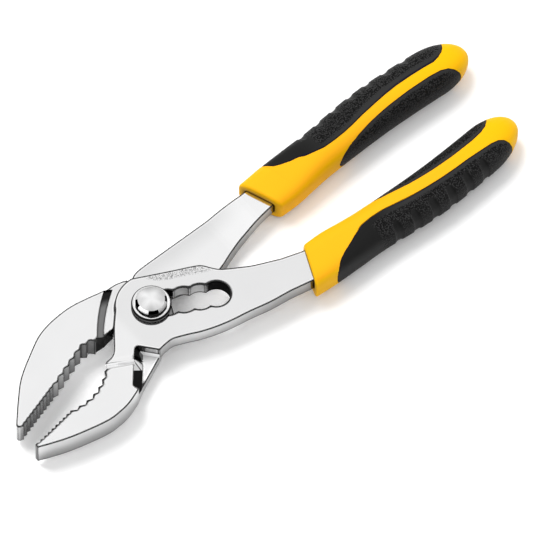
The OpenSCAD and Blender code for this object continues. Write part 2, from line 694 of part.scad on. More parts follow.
// Angle that the gap beside an inlay takes up
edge_gap_angle = 1;
function inlay_ring(g, u, middle, half, grooved) = concat(
    [for (i = [0 : PAD_STEPS]) let (t = 2 * i / PAD_STEPS - 1, phi = (half - edge_gap_angle) * t)
        grip_point(g, u, middle + phi, grooved ? groove_at(u, phi) : 0)],
    [for (i = [PAD_STEPS : -1 : 0]) let (t = 2 * i / PAD_STEPS - 1)
        grip_point(g, u, middle + (half - wall_angle - edge_gap_angle) * t, pad_t - pad_gap)]
);

module upper_sleeve() { sleeve(0); }
module lower_sleeve() { sleeve(1); }
module upper_outer_pad() { inlay(0, 0, outer_edge_shares[0], true); }
module upper_inner_pad() { inlay(0, 180, inner_edge_shares, false); }
module lower_outer_pad() { inlay(1, 0, outer_edge_shares[1], true); }
module lower_inner_pad() { inlay(1, 180, inner_edge_shares, false); }

slotted_half();
pin_half();
pivot_pin();
pivot_washer();
pivot_nut();
upper_sleeve();
upper_outer_pad();
upper_inner_pad();
lower_sleeve();
lower_outer_pad();
lower_inner_pad();
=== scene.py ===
"""Looks of the slip joint pliers: polished steel, yellow sleeves and black pebbled inlays.

Every length below is in millimetres, and MM turns it into metres where a mesh or a shader needs them.
"""
import math

import bmesh
import bpy
import numpy as np
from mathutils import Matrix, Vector

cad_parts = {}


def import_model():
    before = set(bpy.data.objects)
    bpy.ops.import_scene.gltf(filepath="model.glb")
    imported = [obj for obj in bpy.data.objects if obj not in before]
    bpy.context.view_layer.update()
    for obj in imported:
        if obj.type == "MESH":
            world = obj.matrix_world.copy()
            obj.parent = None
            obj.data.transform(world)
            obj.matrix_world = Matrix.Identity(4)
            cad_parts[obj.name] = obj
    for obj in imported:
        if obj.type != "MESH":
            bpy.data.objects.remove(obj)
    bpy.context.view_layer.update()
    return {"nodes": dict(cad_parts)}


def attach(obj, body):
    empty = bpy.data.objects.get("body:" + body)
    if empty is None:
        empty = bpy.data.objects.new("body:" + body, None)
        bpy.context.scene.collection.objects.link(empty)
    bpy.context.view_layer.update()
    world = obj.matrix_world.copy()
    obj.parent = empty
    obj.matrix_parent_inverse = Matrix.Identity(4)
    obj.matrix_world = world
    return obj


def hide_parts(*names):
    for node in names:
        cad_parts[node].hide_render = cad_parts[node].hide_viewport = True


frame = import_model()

MM = 0.001

# Turn and height of the photograph's view in degrees, its scale, and the point in its middle
VIEW_TURN, VIEW_RISE = 320, 61
PHOTO_PIXELS, PIXELS_PER_MM = 533, 2.438
VIEW_MIDDLE = (47.86, -16.39, 14.9)


# Grip surfaces

GRIP_L = 110.0
# Full thickness, and the share of the length over which a grip swells to it
FULL_T, SWELL = 18.0, 0.30
# Round lip in front and round end behind
LIP_R, END_L = 1.2, 18.0
# The section's power, from the squarish front to the rounder rest
FRONT_POWER, POWER_LOSS = 3.8, 1.3
# Share of the length over which the front's slant fades
SLANT_L = 0.26
# Mean radius of the section, for arcs
MEAN_R = 9.6
# Middle line and width, at even shares of the length
ARCH = np.array([0, .003, .007, .011, .017, .022, .023, .019, .013, .005, -.002])
WIDTH = np.array([.94, .98, .96, .94, .97, 1, 1.01, 1, .99, .97, .95])

# Finger grooves: how many, the first one's place and their step as shares, width, depth and half angle
GROOVES = 7
GROOVE_AT, GROOVE_STEP = 0.275, 0.0835
GROOVE_W, GROOVE_T, GROOVE_TURN = 4.0, 0.5, 62

# Sleeve: depth of the recesses, steepness of their walls, and least half angle that a side's points cover
RECESS, RECESS_SLOPE = 1.5, 6
LEAST_TURN = 36.0
MOUTH_GAP, MOUTH_POWER = 0.15, .2
# Rings from the front's lip into the mouth: share of the way to the tang, and how far back
MOUTH_RINGS = ((.3, 0), (.6, 0), (.85, .02), (.94, .12), (1, .45), (1, 1.2), (1, 5))

# Inlay: edge radius, how far it lies below the sleeve, depth of its skirt, share of its half angle
INLAY_R, INLAY_SUNK, SKIRT, INLAY_SHARE = 0.5, 0.06, 1.2, .995
# Power of a groove's depth, and how far from the border the grooves reach it
GROOVE_POWER, GROOVE_GROWS = 0.6, 3

# Pebbles and the border line: distance from an inlay's border, and the width over which they come or go
PEBBLES_FROM, PEBBLES_FADE = 1.3, 0.8
BORDER_TO, BORDER_FADE = .1, .5
# Share of the grip's length over which the pebbles come in behind the plain front
PEBBLES_GROW = 0.03
# A groove's painted highlight rim: distance from the groove's middle, and half width
RIM_AT, RIM_W = GROOVE_W / 2 + .15, .3
# How much of a groove there is where its shading is full, and where the pebbles are gone
SHADE_FULL, PEBBLES_GONE = 0.2, 0.1
# Shading of a groove's front part, and where the rear part's full one starts and how wide it comes in
SHADE_LIGHT, SHADE_FROM, SHADE_FADE = 0.55, 0.1, 0.6

# Rows and columns of the surfaces, and the angle in degrees from which an edge shows
LIP_ROWS, MIDDLE_ROWS, END_ROWS, OUTER_ROWS, INNER_ROWS = 9, 150, 14, 130, 90
SIDE_COLS, GAP_COLS = 61, 14
GROOVED_ROWS, PLAIN_ROWS, INLAY_COLS = 330, 200, 81
SLEEVE_SHARP, INLAY_SHARP = 50, 60

# Half angle that each inlay covers, against the share of the grip's length
UPPER_OUTER = np.array([
    [.1, 0], [.1025, 20], [.106, 40], [.112, 56], [.12, 67], [.14, 74], [.17, 80], [.2, 83], [.25, 90],
    [.3, 98], [.35, 100], [.4, 100], [.45, 98], [.5, 94.5], [.56, 91.5], [.62, 88.5], [.68, 86.5], [.74, 86],
    [.8, 86], [.85, 86.5], [.88, 84], [.905, 77], [.921, 65], [.931, 48], [.936, 26], [.9375, 0]])
LOWER_OUTER = np.array([
    [.089, 0], [.092, 18], [.1, 41], [.11, 60], [.12, 68], [.14, 77], [.17, 84.5], [.2, 91], [.25, 98],
    [.3, 101], [.35, 101], [.4, 98], [.45, 95.5], [.5, 94], [.56, 92], [.62, 90], [.68, 88], [.74, 86.5],
    [.8, 83], [.85, 79], [.88, 73], [.9, 62], [.912, 42], [.918, 20], [.92, 0]])
INNER = np.array([
    [.325, 0], [.332, 10], [.345, 24], [.36, 32], [.39, 43], [.45, 54], [.5, 61], [.55, 65], [.6, 68],
    [.7, 72], [.8, 73], [.85, 71], [.88, 64], [.9, 49], [.914, 26], [.918, 0]])

# Each grip: its front's place and size, how it leans, and the tang's half width, middle and half height
UPPER = dict(name="upper", side=1, x=67.98, y=11.946, width=21.0, slant=-.37, lean=-.006, height=.411,
             front=14.6, turn=5.0, outer=UPPER_OUTER, pebbles=.28, first_groove=0, tang=(6.2, 7.74, 3.0),
             body="pin_side")
LOWER = dict(name="lower", side=-1, x=61.71, y=27.258, width=20.0, slant=-.45, lean=.009, height=.53,
             front=16.0, turn=-5.0, outer=LOWER_OUTER, pebbles=.27, first_groove=1, tang=(6.6, 11.4, 3.5),
             body="slotted_side")


def ease(t):
    """Smooth step: three t squared minus two t cubed, held between 0 and 1."""
    t = np.clip(t, 0, 1)
    return t * t * (3 - 2 * t)


def through(u, table):
    """Smooth curve through evenly spaced values, with the tangent at each from its neighbours."""
    m = len(table) - 1
    i = np.clip(np.floor(u * m).astype(int), 0, m - 1)
    a, b = table[np.maximum(i - 1, 0)], table[i]
    c, d = table[i + 1], table[np.minimum(i + 2, m)]
    t = u * m - i
    square, cube = 2 * a - 5 * b + 4 * c - d, 3 * b - a - 3 * c + d
    return 0.5 * (2 * b + (c - a) * t + square * t ** 2 + cube * t ** 3)


def signed_power(value, power):
    """Size of the value raised to the power, with the value's own sign."""
    return np.sign(value) * np.abs(value) ** power


def grip_point(grip, u, phi, inset):
    """Point of a grip at the share u of its length, phi degrees round from its outer side, sunk by inset.

    The section is half its width times a power of the cosine, by half its height times a power of the sine.
    """
    end = np.sqrt(1 - np.maximum(0, 1 - (1 - u) * GRIP_L / END_L) ** 2)
    near = np.minimum(u * GRIP_L, LIP_R)
    lip = LIP_R - np.sqrt(LIP_R ** 2 - (LIP_R - near) ** 2)
    swell = ease(u / SWELL)
    w = grip["width"] / 2 * through(u, WIDTH) * end - lip - inset
    h = (grip["front"] + (FULL_T - grip["front"]) * swell) / 2 * end - lip - inset
    power = 2 / (FRONT_POWER - POWER_LOSS * swell)
    dy = w * signed_power(np.cos(np.radians(phi)), power)
    dz = h * signed_power(np.sin(np.radians(phi)), power)
    slant = grip["slant"] * (1 - ease(u / SLANT_L))
    x = grip["x"] + u * GRIP_L + slant * dy
    y = grip["side"] * (grip["y"] + GRIP_L * (through(u, ARCH) + grip["lean"] * u) + dy)
    z = FULL_T * (grip["height"] + (0.5 - grip["height"]) * swell) + dz
    return np.stack([x, y, z], -1)


def half_angle(grip, u, table, sign):
    """Half angle that an inlay covers at u, with the stripes between the inlays turned a little.

    The sign is 1 for the outer inlay and -1 for the inner one, so that one gains what the other loses.
    """
    full_from = 30
    a = np.interp(u, table[:, 0], table[:, 1])
    return a + sign * grip["turn"] * ease(a / full_from)


def edge_distance(grip, u, phi, table, sign):
    """Distance from a point of an inlay to its border: the arc to it, over the length of its slope."""
    du = 1e-3
    rise = (half_angle(grip, u + du, table, sign) - half_angle(grip, u - du, table, sign)) / (2 * du)
    arc = np.radians(1) * MEAN_R
    across = (half_angle(grip, u, table, sign) - np.abs(phi)) * arc
    return across / np.sqrt(1 + (arc * rise / GRIP_L) ** 2)


def stations(table, n):
    """Places along an inlay, closer together near its two ends: the mean of even and cosine steps."""
    t = np.linspace(0, 1, n)
    t = 0.5 * t + 0.5 * (0.5 - 0.5 * np.cos(np.pi * t))
    return table[0, 0] + (table[-1, 0] - table[0, 0]) * t


def to_mesh(name, points, faces, flip=False):
    """Mesh object from an array of points in millimetres and an array of faces with equal corners."""
    faces = np.asarray(faces, dtype=np.int32)
    if flip:
        faces = faces[:, ::-1]
    corners = faces.shape[1]
    mesh = bpy.data.meshes.new(name)
    mesh.vertices.add(len(points))
    mesh.vertices.foreach_set("co", (np.asarray(points) * MM).astype(np.float32).ravel())
    mesh.loops.add(faces.size)
    mesh.loops.foreach_set("vertex_index", faces.ravel())
    mesh.polygons.add(len(faces))
    mesh.polygons.foreach_set("loop_start", np.arange(len(faces), dtype=np.int32) * corners)
    mesh.update(calc_edges=True)
    mesh.validate()
    obj = bpy.data.objects.new(name, mesh)
    bpy.context.scene.collection.objects.link(obj)
    return obj


def grid_faces(rows, cols, closed):
    """Corner numbers of a grid's faces, row by row, joined round if closed."""
    i = np.arange(rows - 1)[:, None] * cols
    j = np.arange(cols if closed else cols - 1)[None, :]
    k = (j + 1) % cols
    return np.stack([i + j, i + k, i + cols + k, i + cols + j], -1).reshape(-1, 4)


def grid_object(grip, name, rows, closed, sharp):
    """Mesh object of a grid of points, smooth but for edges that turn by more than sharp degrees."""
    faces = grid_faces(rows.shape[0], rows.shape[1], closed)
    obj = to_mesh(name, rows.reshape(-1, 3), faces, flip=grip["side"] < 0)
    obj.data.polygons.foreach_set("use_smooth", np.ones(len(faces), bool))
    obj.data.update()
    mod = obj.modifiers.new("sharp edges", "EDGE_SPLIT")
    mod.split_angle = math.radians(sharp)
    mod.use_edge_sharp = False
    return obj


def sleeve_stations(grip):
    """Places along a sleeve: close at the lip, even between, close at the end, and both inlays' own."""
    lip = np.linspace(0, .014, LIP_ROWS)
    middle = np.linspace(.02, .98, MIDDLE_ROWS)
    end = 1 - .02 * np.linspace(.9, 0, END_ROWS) ** 2
    inlays = [stations(grip["outer"], OUTER_ROWS), stations(INNER, INNER_ROWS)]
    least_step = 2e-4
    u = np.unique(np.concatenate([lip, middle, end, *inlays]))
    return u[np.concatenate([[True], np.diff(u) > least_step])]


def sleeve_side(grip, u, middle, table, sign):
    """Angles and depths of a sleeve's points round an inlay: the depth grows with the border's distance."""
    a = half_angle(grip, u, table, sign)[:, None]
    t = np.concatenate([[-1], np.linspace(-1, 1, SIDE_COLS), [1]])[None, :]
    spare = LEAST_TURN * (1 - ease(a / (2 * LEAST_TURN)))
    phi = np.sqrt(a ** 2 + spare ** 2) * t
    inside = ((u > table[0, 0]) & (u < table[-1, 0]))[:, None]
    away = np.maximum(0, edge_distance(grip, u[:, None], phi, table, sign))
    return middle + phi, np.where(inside, np.minimum(RECESS, away * RECESS_SLOPE), 0)


def sleeve_mouth(grip, rim, phi):
    """Rings from the mouth, which lies close round the tang, out to the front's rim.

    A ring is the rim plus a share of the way to the mouth's edge. The edge's small power makes it square.
    """
    half_w, centre_z, half_h = grip["tang"]
    dy = (half_w + MOUTH_GAP) * signed_power(np.cos(np.radians(phi)), MOUTH_POWER)
    dz = (half_h + MOUTH_GAP) * signed_power(np.sin(np.radians(phi)), MOUTH_POWER)
    edge = np.stack([grip["x"] + grip["slant"] * dy, grip["side"] * (grip["y"] + dy), centre_z + dz], -1)
    return np.array([rim + (edge - rim) * share + np.array([back, 0, 0])
                     for share, back in reversed(MOUTH_RINGS)])


def sleeve(grip):
    """Yellow sleeve: one skin round the grip, sunk where the inlays lie, closed in front round the steel.

    Round the grip come the outer inlay's angles, even steps over the top, the inner inlay's, and even steps
    below.
    """
    u = sleeve_stations(grip)
    outer, outer_depth = sleeve_side(grip, u, 0, grip["outer"], 1)
    inner, inner_depth = sleeve_side(grip, u, 180, INNER, -1)
    t = np.linspace(0, 1, GAP_COLS)[1:-1][None, :]
    top = outer[:, -1:] + (inner[:, :1] - outer[:, -1:]) * t
    bottom = inner[:, -1:] + (360 + outer[:, :1] - inner[:, -1:]) * t
    phi = np.concatenate([outer, top, inner, bottom], 1)
    depth = np.concatenate([outer_depth, top * 0, inner_depth, bottom * 0], 1)
    tip = 1 - 1e-6
    skin = grip_point(grip, np.minimum(u, tip)[:, None], phi, depth)
    rows = np.concatenate([sleeve_mouth(grip, skin[0], phi[0]), skin])
    return grid_object(grip, grip["name"] + "_sleeve_skin", rows, True, SLEEVE_SHARP)


def groove_place(grip, u, phi):
    """Signed distance from the nearest groove's middle, and how much of the groove there is.

    That is 1 minus the square of the distance and minus the sixth power of the angle, both as shares.
    """
    k = np.clip(np.round((u - GROOVE_AT) / GROOVE_STEP), grip["first_groove"], GROOVES - 1)
    d = (u - GROOVE_AT - k * GROOVE_STEP) * GRIP_L
    return d, np.maximum(0, 1 - (d / (GROOVE_W / 2)) ** 2 - (phi / GROOVE_TURN) ** 6)


def inlay_marks(grip, u, phi, away, d, left):
    """Values that the black material reads: pebbles, border, painted shade of grooves and painted highlight
    of rims.

    Pebbles need distance from the border, no groove and the rear part. A rim is 1 minus a square.
    """
    clear = ease((away - PEBBLES_FROM) / PEBBLES_FADE) * (1 - ease(left / PEBBLES_GONE))
    pebbles = clear * ease((u - grip["pebbles"]) / PEBBLES_GROW)
    border = 1 - ease((away - BORDER_TO) / BORDER_FADE)
    darker = ease((d / (GROOVE_W / 2) - SHADE_FROM) / SHADE_FADE)
    groove = ease(left / SHADE_FULL) * (SHADE_LIGHT + (1 - SHADE_LIGHT) * darker)
    rim = np.maximum(0, 1 - ((d + RIM_AT) / RIM_W) ** 2) * (np.abs(phi) < GROOVE_TURN)
    return dict(pebbles=pebbles, border=border, groove=groove, rim=rim)


def inlay(grip, which, middle, table, sign, grooved):
    """Black inlay: a skin flush with the sleeve, with rounded edges, a skirt and finger grooves.

    It sinks by a quarter circle at its border, and by a groove's depth times a power of how much of it
    there is.
    """
    u = stations(table, GROOVED_ROWS if grooved else PLAIN_ROWS)[:, None]
    t = np.concatenate([[-1], np.sin(np.linspace(-1, 1, INLAY_COLS) * np.pi / 2), [1]])[None, :]
    phi = half_angle(grip, u, table, sign) * t
    away = np.maximum(0, edge_distance(grip, u, phi, table, sign))
    away = np.minimum(away, np.minimum(u - table[0, 0], table[-1, 0] - u) * GRIP_L)
    d, left = groove_place(grip, u, phi)
    marks = inlay_marks(grip, u, phi, away, d, left * grooved)
    marks["rim"] = marks["rim"] * grooved
    round_edge = INLAY_R - np.sqrt(np.maximum(0, INLAY_R ** 2 - (INLAY_R - away) ** 2))
    inset = np.where(away < INLAY_R, round_edge, 0) + INLAY_SUNK
    inset = inset + GROOVE_T * (left * grooved) ** GROOVE_POWER * ease(away / GROOVE_GROWS)
    inset[:, 0] = inset[:, -1] = SKIRT
    rows = grip_point(grip, u, middle + phi * INLAY_SHARE, inset)
    obj = grid_object(grip, f"{grip['name']}_{which}_inlay", rows, False, INLAY_SHARP)
    for label, values in marks.items():
        made = obj.data.attributes.new(label, "FLOAT", "POINT")
        made.data.foreach_set("value", values.astype(np.float32).ravel())
    return obj


# Amounts that change over a surface

def plug(value, socket):
    """Put a number, a colour or an amount into a node's input."""
    if isinstance(value, Amount):
        socket.id_data.links.new(value.socket, socket)
    else:
        socket.default_value = value


def plug_all(made, values):
    """Put each value into the node's input of that name."""
    for label, value in values.items():
        plug(value, made.inputs[label])


def maths(operation, *values, clamp=False):
    """One math node on numbers and amounts, at least one of them an amount."""
    tree = next(value.socket.id_data for value in values if isinstance(value, Amount))
    made = tree.nodes.new("ShaderNodeMath")
    made.operation = operation
    made.use_clamp = clamp
    for value, socket in zip(values, made.inputs):
        plug(value, socket)
    return Amount(made.outputs[0])


class Amount:
    """Number or colour that changes over a surface: a node's output, from which signs make math nodes."""

    def __init__(self, socket):
        self.socket = socket

    def __add__(self, other):
        return maths("ADD", self, other)

    def __sub__(self, other):
        return maths("SUBTRACT", self, other)

    def __rsub__(self, number):
        return maths("SUBTRACT", number, self)

    def __mul__(self, other):
        return maths("MULTIPLY", self, other)

    def __truediv__(self, other):
        return maths("DIVIDE", self, other)

    def __pow__(self, other):
        return maths("POWER", self, other)

    def __abs__(self):
        return maths("ABSOLUTE", self)

    def step(self, start, full):
        """Smooth step: 0 at start and 1 at full, whichever of them is larger."""
        made = self.socket.id_data.nodes.new("ShaderNodeMapRange")
        made.interpolation_type = "SMOOTHSTEP"
        rising = start < full
        limits = (start, full, 0, 1) if rising else (full, start, 1, 0)
        for value, socket in zip((self, *limits), made.inputs):
            plug(value, socket)
        return Amount(made.outputs[0])

    def between(self, low, high, soft):
        """One between low and high, falling to 0 over the soft width outside."""
        return self.step(low - soft, low) * self.step(high + soft, high)


def larger(a, b):
    """The larger of two amounts."""
    return maths("MAXIMUM", a, b)


def mix(share, a, b, kind, sockets):
    """Mix node whose result passes from a to b as the share goes from 0 to 1."""
    made = share.socket.id_data.nodes.new("ShaderNodeMix")
    made.data_type = kind
    for value, i in zip((share, a, b), sockets):
        plug(value, made.inputs[i])
    return made


def blend(share, a, b):
    """Number that passes from a to b: a plus the share of b minus a."""
    return Amount(mix(share, a, b, "FLOAT", (0, 2, 3)).outputs[0])


def mixed(share, a, b):
    """Colour that passes from a to b."""
    return Amount(mix(share, a, b, "RGBA", (0, 6, 7)).outputs[2])


def opaque(red, green, blue):
    """Opaque colour from three linear values."""
    return red, green, blue, 1


def grey(value):
    """Opaque grey of one linear value."""
    return opaque(value, value, value)


def colour_of(red, green, blue):
    """Colour from three amounts."""
    made = red.socket.id_data.nodes.new("ShaderNodeCombineColor")
    for value, socket in zip((red, green, blue), made.inputs):
        plug(value, socket)
    return Amount(made.outputs[0])


def tone_ramp(place, stops, blending="LINEAR"):
    """Grey tone from places and values in rising order, for an amount from 0 to 1."""
    ramp = place.socket.id_data.nodes.new("ShaderNodeValToRGB")
    ramp.color_ramp.interpolation = blending
    while len(ramp.color_ramp.elements) < len(stops):
        ramp.color_ramp.elements.new(0.5)
    for element, (position, value) in zip(ramp.color_ramp.elements, stops):
        element.position = position
        element.color = grey(value)
    plug(place, ramp.inputs[0])
    return Amount(ramp.outputs[0])


def parts_of(tree, vector):
    """The three parts of a vector output."""
    made = tree.nodes.new("ShaderNodeSeparateXYZ")
    tree.links.new(vector, made.inputs[0])
    return [Amount(socket) for socket in made.outputs]


def pattern(tree, kind, output, **values):
    """Texture on Object coordinates, with its inputs set from the values."""
    coord = tree.nodes.new("ShaderNodeTexCoord")
    made = tree.nodes.new(kind)
    plug_all(made, values)
    tree.links.new(coord.outputs["Object"], made.inputs["Vector"])
    return Amount(made.outputs[output])


# Effects that several materials share

def group(name, inputs, outputs):
    """Empty node group: its tree, its inputs as amounts by name, and the node that takes its outputs."""
    tree = bpy.data.node_groups.new(name, "ShaderNodeTree")
    for label in inputs:
        tree.interface.new_socket(label, in_out="INPUT", socket_type="NodeSocketFloat")
    for label in outputs:
        kind = "NodeSocketVector" if label == "normal" else "NodeSocketFloat"
        tree.interface.new_socket(label, in_out="OUTPUT", socket_type=kind)
    given = tree.nodes.new("NodeGroupInput").outputs
    return tree, {label: Amount(given[label]) for label in inputs}, tree.nodes.new("NodeGroupOutput")


def use(tree, shared, **values):
    """Place a shared group in a tree, with its inputs set, and give its outputs as amounts by name."""
    made = tree.nodes.new("ShaderNodeGroup")
    made.node_tree = shared
    plug_all(made, values)
    return {socket.name: Amount(socket) for socket in made.outputs}


SLOT_TURN = math.radians(28.3)
# How upright a normal is where a top, and where a slope, starts and is full
TOP_NZ, SLOPE_NZ = (.8, .97), (.2, .35)


def place_group():
    """Position in millimetres, normal, share of top and of slope, and position along and across the slot.

    The last two are x and y turned by the slot's angle.
    """
    tree, _, out = group("place", (), ("x", "y", "z", "nx", "ny", "nz", "up", "slope", "along", "across"))
    coord = tree.nodes.new("ShaderNodeTexCoord")
    x, y, z = (part / MM for part in parts_of(tree, coord.outputs["Object"]))
    nx, ny, nz = parts_of(tree, coord.outputs["Normal"])
    up = abs(nz).step(*TOP_NZ)
    slope = abs(nz).step(*SLOPE_NZ) * (1 - up)
    along = x * math.cos(SLOT_TURN) - y * math.sin(SLOT_TURN)
    across = x * math.sin(SLOT_TURN) + y * math.cos(SLOT_TURN)
    plug_all(out, dict(x=x, y=y, z=z, nx=nx, ny=ny, nz=nz, up=up, slope=slope, along=along, across=across))
    return tree


# How far the painted dark edge lines and the softly rounded edges reach from an edge
LINE_R, EDGE_R = 2.4, 0.5
SQUARE_LEAN = 1 - math.cos(math.radians(45))
# Leans between which the painted dark line, its painted highlight rim and the broad painted line of fine
# teeth come up
LINE_LEAN, RIM_LEAN, BROAD_LEAN = (.2, .4), (.02, .1), (.04, .16)
LINE_SAMPLES, EDGE_SAMPLES, HOLLOW_SAMPLES = 16, 8, 8


def edge_group():
    """Painted dark line and painted highlight rim along every edge, from how far a rounded normal leans.

    The lean is one minus the cosine between the rounded and the true normal, over that of a square edge.
    """
    tree, _, out = group("edges", (), ("line", "broad", "rim", "normal"))
    wide, soft = tree.nodes.new("ShaderNodeBevel"), tree.nodes.new("ShaderNodeBevel")
    for made, radius, samples in ((wide, LINE_R, LINE_SAMPLES), (soft, EDGE_R, EDGE_SAMPLES)):
        plug(radius * MM, made.inputs["Radius"])
        made.samples = samples
    flat = tree.nodes.new("ShaderNodeNewGeometry")
    dot = tree.nodes.new("ShaderNodeVectorMath")
    dot.operation = "DOT_PRODUCT"
    tree.links.new(wide.outputs[0], dot.inputs[0])
    tree.links.new(flat.outputs["True Normal"], dot.inputs[1])
    lean = (1 - Amount(dot.outputs["Value"])) / SQUARE_LEAN
    line = lean.step(*LINE_LEAN)
    rim = maths("SUBTRACT", lean.step(*RIM_LEAN), line, clamp=True)
    plug_all(out, dict(line=line, broad=lean.step(*BROAD_LEAN), rim=rim, normal=Amount(soft.outputs[0])))
    return tree


def hollow_group():
    """Share of open space within the reach of a point, raised to a power, used to darken colours as painted
    shade.
    """
    tree, given, out = group("hollows", ("reach", "power"), ("open",))
    hollow = tree.nodes.new("ShaderNodeAmbientOcclusion")
    hollow.samples = HOLLOW_SAMPLES
    plug(given["reach"] * MM, hollow.inputs["Distance"])
    plug(Amount(hollow.outputs["AO"]) ** given["power"], out.inputs["open"])
    return tree


def grain_group():
    """Faint clouds of the polish: noise about 17 mm wide, times a spread, plus a least value."""
    tree, given, out = group("grain", ("spread", "least"), ("grain",))
    clouds = pattern(tree, "ShaderNodeTexNoise", 0, Scale=60.0, Detail=3.0)
    plug(clouds * given["spread"] + given["least"], out.inputs["grain"])
    return tree


# Where the two halves meet at the lower jaw's shoulder: across the slot, along x, and how soft the ends are
SEAM_ACROSS, SEAM_X = (-25.3, -23.2, .15), (-34, -20, .3)


def seam_group():
    """Narrow band along the seam between the two halves, whose walls get painted light there."""
    tree, given, out = group("seam", ("x", "across"), ("band",))
    plug(given["across"].between(*SEAM_ACROSS) * given["x"].between(*SEAM_X), out.inputs["band"])
    return tree


# Painted reflections on the notch as the photograph shows it: heights of its bright part, the dark line over
# it, and the tones
NOTCH_RISE = (-19.3, -15.2, .15)
NOTCH_LINE_SLOPE, NOTCH_LINE_AT, NOTCH_LINE_W = 1.333, 24.9, (.2, .5)
NOTCH_DARK, NOTCH_BRIGHT = .012, .72


def notch_group():
    """Painted reflections: black notch with a bright part about its middle, crossed by a dark slanting line.

    Rise and side are a point's height and place in the photograph's plane, worked out from its view.
    """
    tree, given, out = group("notch", ("x", "y", "z"), ("tone",))
    x, y, z = given["x"], given["y"], given["z"]
    turn, tilt = math.radians(VIEW_TURN), math.radians(VIEW_RISE)
    rise = (y * math.cos(turn) - x * math.sin(turn)) * math.sin(tilt) + z * math.cos(tilt)
    side = x * math.cos(turn) + y * math.sin(turn)
    from_line = abs(rise + side * NOTCH_LINE_SLOPE + NOTCH_LINE_AT)
    bright = rise.between(*NOTCH_RISE) * from_line.step(*NOTCH_LINE_W)
    plug(blend(bright, NOTCH_DARK, NOTCH_BRIGHT), out.inputs["tone"])
    return tree


PLACE, EDGES, HOLLOWS = place_group(), edge_group(), hollow_group()
GRAIN, SEAM, NOTCH = grain_group(), seam_group(), notch_group()


# Materials

def new_material(name):
    """Material with an emptied node tree that has an output and a principled shader."""
    mat = bpy.data.materials.new(name)
    mat.use_nodes = True
    tree = mat.node_tree
    tree.nodes.clear()
    out = tree.nodes.new("ShaderNodeOutputMaterial")
    bsdf = tree.nodes.new("ShaderNodeBsdfPrincipled")
    tree.links.new(bsdf.outputs[0], out.inputs[0])
    return mat, tree, bsdf


# Spread and least value of the grain, in the tone and in the roughness
GRAIN_TONE, GRAIN_ROUGH = dict(spread=.05, least=.975), dict(spread=.05, least=.06)
# Tones between which the painted highlight rim comes up, tone that is left under a painted dark line, and a
# hint of blue
RIM_TONES, LINE_SHARE, BLUE_SHARE = (.4, .7), .05, 1.004
# Painted light: strength of the glow on sides where no edge line runs, such as the seam's walls
SIDE_GLOW = .08


def steel_surface(name, paint, glow):
    """Polished steel with the shared painted edge lines on top of what the piece's own paint gives.

    That is its tone, how matte it is, where no edge line runs and the sides glow, and where fine teeth
    need a broader line.
    """
    mat, tree, bsdf = new_material(name)
    at = use(tree, PLACE)
    edges = use(tree, EDGES)
    tone, matte, clear, teeth = paint(tree, at)
    tone = tone * use(tree, GRAIN, **GRAIN_TONE)["grain"]
    # Painted highlight rim on the tops and painted dark line on the edges, in place of the reflections of
    # rounded edges
    rim = edges["rim"] * at["up"] * (1 - clear) * tone.step(*RIM_TONES)
    tone = blend(rim, tone, 1.0)
    line = larger(edges["line"], edges["broad"] * teeth) * (1 - clear)
    tone = blend(line, tone, tone * LINE_SHARE)
    # Painted light: sides where no edge line runs glow
    light = clear * (1 - at["up"]) * glow
    plug_all(bsdf, {
        "Base Color": colour_of(tone, tone, tone * BLUE_SHARE),
        "Metallic": 1 - matte,
        "Roughness": use(tree, GRAIN, **GRAIN_ROUGH)["grain"],
        "Normal": edges["normal"],
        "Specular IOR Level": 0.0,
        "Emission Color": colour_of(light, light, light),
        "Emission Strength": 1.0,
    })
    return mat


# Below, a pair of places is where a step starts and where it is full, and a triple is a band's two ends
# and the width over which it fades. Tones run from 0 to 1.

# Painted shade in the steel's hollows: reach in millimetres and power
STEEL_HOLLOWS = dict(reach=12, power=1.2)
JAW_TOP = .925
# Painted light on the seam's walls, which hides the shade of the gap between the halves
SEAM_LIGHT = .95

# The speckled band's corner, its direction, and its length and width
SPECKLE_X, SPECKLE_Y, SPECKLE_TURN = 1.3, 15.35, math.radians(26.86)
SPECKLE_RUN, SPECKLE_GROWS, SPECKLE_W, SPECKLE_SOFT = (2, 31, 4), (0, 14), 4.2, (-.3, .9)
SPECKLE_LEVEL, SPECKLE_SHARE = (.45, .62), .3


def speckles(tree, at):
    """Rough patch along the slotted plate's high edge: noise above a level, inside a narrow band."""
    noise = pattern(tree, "ShaderNodeTexNoise", 0, Scale=1700.0, Detail=3.0, Roughness=0.8)
    x, y = at["x"] - SPECKLE_X, at["y"] - SPECKLE_Y
    run = x * math.cos(SPECKLE_TURN) - y * math.sin(SPECKLE_TURN)
    width = run.step(*SPECKLE_GROWS) * SPECKLE_W
    inside = width + (x * math.sin(SPECKLE_TURN) + y * math.cos(SPECKLE_TURN))
    return run.between(*SPECKLE_RUN) * inside.step(*SPECKLE_SOFT) * noise.step(*SPECKLE_LEVEL)


# Slotted half: the plate's top, painted shade on its walls by height, and the darker painted shade of the
# handle's wall
PLATE_X, PLATE_TOP = (-17, -12), .86
WALL_Z, WALL_LOW, WALL_HIGH = (7, 15), .46, .62
HANDLE_WALL_X, HANDLE_WALL_SHARE = (22, 42), .68
# Painted shade on the teeth of the upper jaw, and black painted shade in the throat behind them
TEETH_X, FINE_TEETH_X, COARSE_TEETH, FINE_TEETH = (-15, -18), (-42, -50), .27, .46
THROAT_X, THROAT_NY, THROAT_SHADE = (-27.2, -15.5, .8), (.1, -.1), .05
# Slot: its two extents, its far end, and the painted shade of its walls by height, black at the far end
SLOT_ACROSS, SLOT_ALONG, SLOT_END = (-6.6, 6.6, .3), (-7, 34, .5), (23, 25.2)
SLOT_Z, SLOT_HIGH, SLOT_LOW, SLOT_END_SHADE = (14, 8), .36, .48, .012
